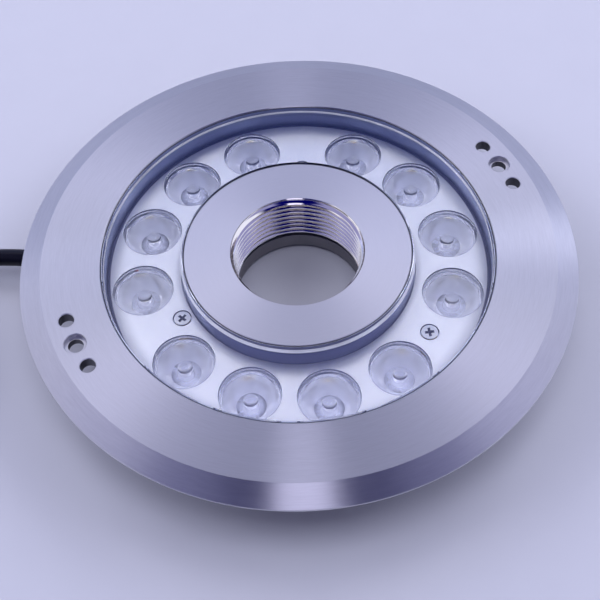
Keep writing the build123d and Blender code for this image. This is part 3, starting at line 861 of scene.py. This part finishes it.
def package_mesh():
    """Ceramic emitter body with bevelled edges, and the square of phosphor on it."""
    body = bmesh.new()
    half, height = 1.75 * MM, 0.8 * MM
    bmesh.ops.create_cube(body, size=1, matrix=Matrix.Diagonal((2 * half, 2 * half, height, 1)))
    bmesh.ops.translate(body, verts=body.verts, vec=(0, 0, BOARD_TOP + height / 2))
    bmesh.ops.bevel(body, geom=list(body.edges), offset=0.12 * MM, segments=2, affect="EDGES")
    chip = 0.75 * MM
    made = bmesh.ops.create_cube(body, size=1, matrix=Matrix.Diagonal((2 * chip, 2 * chip, 0.1 * MM, 1)))
    bmesh.ops.translate(body, verts=made["verts"], vec=(0, 0, BOARD_TOP + height + 0.05 * MM))
    for face in body.faces:
        face.material_index = 1 if all(v in made["verts"] for v in face.verts) else 0
    data = bpy.data.meshes.new("emitter")
    body.to_mesh(data)
    body.free()
    data.materials.append(ceramic_white)
    data.materials.append(phosphor)
    return data


def dome_mesh():
    radius, base = 1.3 * MM, BOARD_TOP + 0.9 * MM
    outline = [(0, base), (radius, base)]
    outline += [
        (radius * math.cos(angle), base + 0.2 * MM + radius * math.sin(angle))
        for angle in np.linspace(0, math.pi / 2, 12)
    ]
    return lathe("dome", outline, 48)


def optics():
    optic, emitter, dome = lens_mesh(), package_mesh(), dome_mesh()
    for number, node in enumerate(LENSES, start=1):
        middle = centre(node)
        place = Matrix.Translation((middle.x, middle.y, 0)) @ Matrix.Rotation(
            math.radians(azimuth_of(middle)), 4, "Z"
        )
        led = node.replace("lens", "led")
        dress(new_object(f"optic_{number:02d}", optic, place), lens_clear, [node])
        dress(new_object(f"dome_{number:02d}", dome, place), dome_clear, [led])
        package = new_object(f"emitter_{number:02d}", emitter, place)
        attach(package, LIGHT)
        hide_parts(led)
    finish_faces(optic, [lens_bowl], lambda face: int(
        from_bore(face.center) > CAVITY_REACH and face.center.z < MILKY_BELOW
    ))


def cross_cutter(place):
    """Tapered cross of a screwdriver recess, pointing down from the head's face."""
    depth, arm, width = 1.3 * MM, 1.9 * MM, 0.55 * MM
    above = 0.4 * MM
    tip_length, tip_width = 0.35, 0.7
    cutter = bmesh.new()
    for long_x in (True, False):
        half_x, half_y = (arm, width) if long_x else (width, arm)
        corners = [(-1, -1), (1, -1), (1, 1), (-1, 1)]
        upper = [cutter.verts.new((half_x * x, half_y * y, above)) for x, y in corners]
        lower = [
            cutter.verts.new((half_x * x * tip_length, half_y * y * tip_width, -depth)) for x, y in corners
        ]
        cutter.faces.new(upper)
        cutter.faces.new(reversed(lower))
        for index in range(4):
            following = (index + 1) % 4
            cutter.faces.new((upper[index], lower[index], lower[following], upper[following]))
    bmesh.ops.recalc_face_normals(cutter, faces=cutter.faces)
    halves = []
    for part in range(2):
        data = bpy.data.meshes.new("cross")
        half = cutter.copy()
        keep = set(list(half.verts)[part * 8:part * 8 + 8])
        bmesh.ops.delete(half, geom=[v for v in half.verts if v not in keep], context="VERTS")
        half.to_mesh(data)
        half.free()
        halves.append(new_object("cross", data, place))
    cutter.free()
    return halves


FIRST_SPIN, SPIN_STEP = 20, 47    # how far each screw is turned, in degrees


def screws():
    """Countersunk screws with a cross recess."""
    head = SCREW_HEAD_RADIUS
    shank = 1.45 * MM
    cone = head - shank
    length = high("plate_screws") - low("plate_screws")
    outline = rounded([
        (0, 0, 0),
        (head - 0.1 * MM, 0, 0.1 * MM),
        (head, -0.15 * MM, 0.08 * MM),
        (shank, -cone, 0.1 * MM),
        (shank, -length, 0.2 * MM),
        (0, -length, 0),
    ])
    skin = 0.06 * MM
    for number, middle in enumerate(screw_places(), start=1):
        spin = Matrix.Rotation(math.radians(FIRST_SPIN + SPIN_STEP * number), 4, "Z")
        place = Matrix.Translation((middle.x, middle.y, high("plate_screws"))) @ spin
        piece = new_object(f"screw_{number}", lathe("screw", outline, 48), place)
        cut(piece, cross_cutter(place))
        dress(piece, head_steel, ["plate_screws"])
        # painted shade in the cross recess
        finish_faces(piece.data, [recess_painted_shade], lambda face: int(face.center.z < -skin))


# ---------------------------------------------------------------- cable
CABLE_DIAMETER = 6.4 * MM
CABLE_ROUTE = [
    (-0.08042, 0.05424, 0.0095),
    (-0.09202, 0.06207, 0.0095),
    (-0.1047, 0.0692, 0.0065),
    (-0.1215, 0.0764, 0.0041),
]
COIL_CENTRE = (-0.16, 0.0455)
COIL_START = 65.4            # position angle at which the cable joins the coil, in degrees
LOWER, UPPER = 0.0037, 0.0101
COIL_STAGES = (              # angle wound, turn radius, height of the centre line
    (0, 0.0414, LOWER), (300, 0.0414, LOWER), (360, 0.035, LOWER), (660, 0.035, LOWER),
    (720, 0.0286, LOWER), (960, 0.0286, LOWER), (1020, 0.0286, UPPER), (1260, 0.0286, UPPER),
    (1320, 0.035, UPPER), (1530, 0.035, UPPER),
)
COIL_STEP = 22.5
TAIL_ROUTE = [
    (-0.1995, 0.0425, 0.0102),
    (-0.2084, 0.0237, 0.009),
]
CONNECTOR_AXIS = Vector(frame["joints"][0]["axis"])
TAIL_INSERTION = 0.0145


def coil_points():
    """Control points of the wound turns. They stand out a little, because the spline cuts inside them."""
    angles, turn_radii, heights = zip(*COIL_STAGES)
    outset = 1 / (0.75 + 0.25 * math.cos(math.radians(COIL_STEP)))
    points = []
    for wound in np.arange(0, angles[-1] + 0.1, COIL_STEP):
        radius = float(np.interp(wound, angles, turn_radii)) * outset
        height = float(np.interp(wound, angles, heights))
        angle = math.radians(COIL_START + wound)
        x = COIL_CENTRE[0] + radius * math.cos(angle)
        y = COIL_CENTRE[1] + radius * math.sin(angle)
        points.append((x, y, height))
    return points


def cable():
    end = Vector(TAIL_ROUTE[-1]) + CONNECTOR_AXIS * TAIL_INSERTION
    route = CABLE_ROUTE + coil_points() + TAIL_ROUTE + [tuple(end)]
    curve = bpy.data.curves.new("supply_cable", "CURVE")
    curve.dimensions = "3D"
    spline = curve.splines.new("NURBS")
    spline.points.add(len(route) - 1)
    for point, place in zip(spline.points, route):
        point.co = (*place, 1)
    spline.order_u = 3
    spline.use_endpoint_u = True
    spline.resolution_u = 8
    curve.bevel_depth = CABLE_DIAMETER / 2
    curve.bevel_resolution = 8
    curve.use_fill_caps = True
    curve.materials.append(jacket)
    piece = new_object("supply_cable", curve)
    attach(piece, LIGHT)
    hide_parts("cable", "cable_coil", "cable_tail")


# ---------------------------------------------------------------- CAD nodes that keep their shape
KEPT = {
    "housing_pan": pan_steel,
    "flange_weld": weld_steel,
    "hub_weld": weld_steel,
    "led_board": board_white,
    "thermal_pad": pad_grey,
    "base_studs": screw_steel,
    "plate_standoffs": brass,
    "driver_chips": chip_black,
    "driver_inductors": chip_black,
    "driver_capacitors": ceramic_tan,
    "lead_positive": wire_red,
    "lead_negative": wire_black,
    "gland_body": gland_plating,
    "gland_locknut": gland_plating,
    "gland_dome_nut": gland_plating,
    "gland_o_ring": rubber,
    "gland_seal": rubber,
    "cable_inner": jacket,
    "coil_tie": tie_nylon,
    "connector_body": nylon,
    "connector_back_nut": nylon,
    "connector_coupling_nut": nylon,
    "connector_contacts": brass,
    "connector_seal": seal_red,
}


def paint_kept_nodes():
    for node, material in KEPT.items():
        piece = frame["nodes"][node]
        if not piece.material_slots:
            piece.data.materials.append(material)
        for holder in piece.material_slots:
            holder.material = material
        piece.data.shade_smooth()
        piece.data.set_sharp_from_angle(angle=math.radians(30))


# ---------------------------------------------------------------- camera, lamps and floor
CAMERA_AZIMUTH = -24.6
CAMERA_ELEVATION = 52.39
CAMERA_DISTANCE = 0.4135     # from the centre of the flange face
CAMERA_AIM = 0.02204         # how far this side of that centre the camera looks
CAMERA_ROLL = 2.97
CAMERA_LENS = 69.86
FACE_CENTRE = Vector((0, 0, TOP))


def seen(right, away, up):
    """Direction or offset given to the camera's right, away from it, and up."""
    return Matrix.Rotation(math.radians(CAMERA_AZIMUTH), 3, "Z") @ Vector((right, away, up))


def camera():
    data = bpy.data.cameras.new("camera")
    data.lens = CAMERA_LENS
    data.sensor_width = 36
    data.clip_start = 0.01
    elevation = math.radians(CAMERA_ELEVATION)
    place = FACE_CENTRE + CAMERA_DISTANCE * seen(0, -math.cos(elevation), math.sin(elevation))
    aim = FACE_CENTRE + seen(0, -CAMERA_AIM, 0)
    turn = (aim - place).to_track_quat("-Z", "Y")
    holder = new_object("camera", data, Matrix.Translation(place) @ turn.to_matrix().to_4x4())
    holder.matrix_world = holder.matrix_world @ Matrix.Rotation(math.radians(-CAMERA_ROLL), 4, "Z")
    bpy.context.scene.camera = holder


def softbox(name, offset, size, power, colour=(0.77, 0.79, 1.0)):
    data = bpy.data.lights.new(name, "AREA")
    data.shape = "RECTANGLE"
    data.size, data.size_y = size
    data.energy = power
    data.color = colour
    place = FACE_CENTRE + seen(*offset)
    turn = (FACE_CENTRE - place).to_track_quat("-Z", "Y")
    return new_object(name, data, Matrix.Translation(place) @ turn.to_matrix().to_4x4())


ZONES = {                    # colour of each part of the light tent, as linear light
    "front": (0.0, 0.0, 0.12),
    "back": (0.50, 0.54, 0.78),
    "back_middle": (0.32, 0.40, 0.90),
    "back_top": (1.32, 1.30, 1.36),
    "back_high": (1.75, 1.70, 2.10),
    "right": (0.92, 0.95, 1.2),
    "left": (0.95, 0.96, 1.15),
    "right_high": (0.30, 0.30, 0.60),
    "left_high": (0.30, 0.30, 0.60),
    "ceiling": (0.0, 0.0, 0.06),
    "doorway": (1.15, 1.12, 1.6),
}


def surroundings(zones):
    """Light tent: bright sides, a back in bands, a dark ceiling, and a dark front with a doorway.

    Each zone covers the ones before it. Its edges are sines of angles to the camera's right, away and up.
    """
    world = bpy.data.worlds.new("studio")
    bpy.context.scene.world = world
    world.use_nodes = True
    graph = Graph(world.node_tree)
    direction = graph.node("ShaderNodeTexCoord").outputs["Generated"]
    right = graph.vector("DOT_PRODUCT", direction, seen(1, 0, 0))
    away = graph.vector("DOT_PRODUCT", direction, seen(0, 1, 0))
    up = graph.separate(direction)[2]

    def beyond(value, start, end):
        return graph.span(value, start, end, 0, 1, "SMOOTHSTEP")

    def both(*shares):
        share = shares[0]
        for other in shares[1:]:
            share = graph.math("MULTIPLY", share, other)
        return share

    behind = beyond(away, 0.0, 0.3)
    colour = zones["front"]
    for name, share in (
        ("back", beyond(away, -0.10, 0.25)),
        ("back_middle", both(behind, beyond(up, 0.40, 0.55))),
        ("back_top", both(behind, beyond(up, 0.72, 0.82))),
        ("back_high", both(behind, beyond(up, 0.80, 0.86))),
        ("right", beyond(right, 0.66, 0.86)),
        ("left", beyond(right, -0.66, -0.86)),
        ("right_high", both(beyond(up, 0.50, 0.60), beyond(right, 0.30, 0.45))),
        ("left_high", both(beyond(up, 0.50, 0.60), beyond(right, -0.30, -0.45))),
        ("ceiling", beyond(up, 0.86, 0.93)),
        ("doorway", both(
            beyond(away, -0.75, -0.80), beyond(up, 0.14, 0.18), beyond(up, 0.58, 0.52),
            beyond(right, -0.20, -0.16), beyond(right, 0.20, 0.16),
        )),
    ):
        colour = graph.blend(share, colour, zones[name])
    graph.put(world.node_tree.nodes["Background"].inputs["Color"], colour)


SMALL, LARGE = (0.2, 0.2), (0.7, 0.7)
GLINT_COLOUR = (0.88, 0.88, 1.0)
FILL_COLOUR = (0.83, 0.85, 1.03)
STRIP_COLOUR = (0.88, 0.86, 1.15)
GLINTS = (                   # name, offset and power of the lamps seen only through clear pieces
    ("glint_left", (-0.45, 0.30, 0.75), 1.5),
    ("glint_right", (0.45, 0.30, 0.75), 1.5),
)
FILLS = (                    # name, offset and power of the lamps that only light matt surfaces
    ("fill_above", (0.0, -0.20, 1.35), 8.0),
    ("fill_left", (-1.1, 0.1, 0.9), 7.8),
    ("fill_right", (1.1, 0.1, 0.9), 7.8),
    ("fill_back_left", (-0.8, 0.8, 0.8), 8.3),
    ("fill_back_right", (0.8, 0.8, 0.8), 8.7),
)


def studio():
    softbox("softbox_left", (-0.75, 0.65, 0.75), SMALL, 0.08)
    softbox("softbox_right", (0.75, 0.75, 0.75), SMALL, 0.5)
    strip = softbox("strip_above", (-0.01, -0.20, 0.40), (0.095, 0.12), 0.13, STRIP_COLOUR)
    lit_by_strip = bpy.data.collections.new("lit_by_strip")
    lit_by_strip.objects.link(bpy.data.objects["flange"])
    strip.light_linking.receiver_collection = lit_by_strip
    for name, offset, power in GLINTS:
        glint = softbox(name, offset, SMALL, power, GLINT_COLOUR)
        glint.visible_glossy = False
        glint.visible_diffuse = False
    for name, offset, power in FILLS:
        fill = softbox(name, offset, LARGE, power, FILL_COLOUR)
        fill.visible_glossy = False
        fill.visible_transmission = False


def floor():
    reach, below = 6.0, 0.2 * MM
    steps = np.linspace(-reach, reach, 9)
    rows = [[(x, y, 0) for y in steps] for x in steps]
    finish = Finish("floor_pale")
    grain = finish.noise(finish.place(), 60.0, 3.0)
    finish.set(
        Base_Color=finish.blend(grain, (0.39, 0.39, 0.415), (0.405, 0.405, 0.43)),
        Roughness=0.7,
        Specular_IOR_Level=0.25,
    )
    sheet = new_object("floor", grid_mesh("floor", rows, closed_rows=False))
    sheet.location.z = -below
    sheet.data.materials.append(finish.material)


camera()
cable()
flange()
hub()
window()
plate()
optics()
screws()
paint_kept_nodes()
surroundings(ZONES)
studio()
floor()
bpy.context.scene.view_settings.view_transform = "Standard"
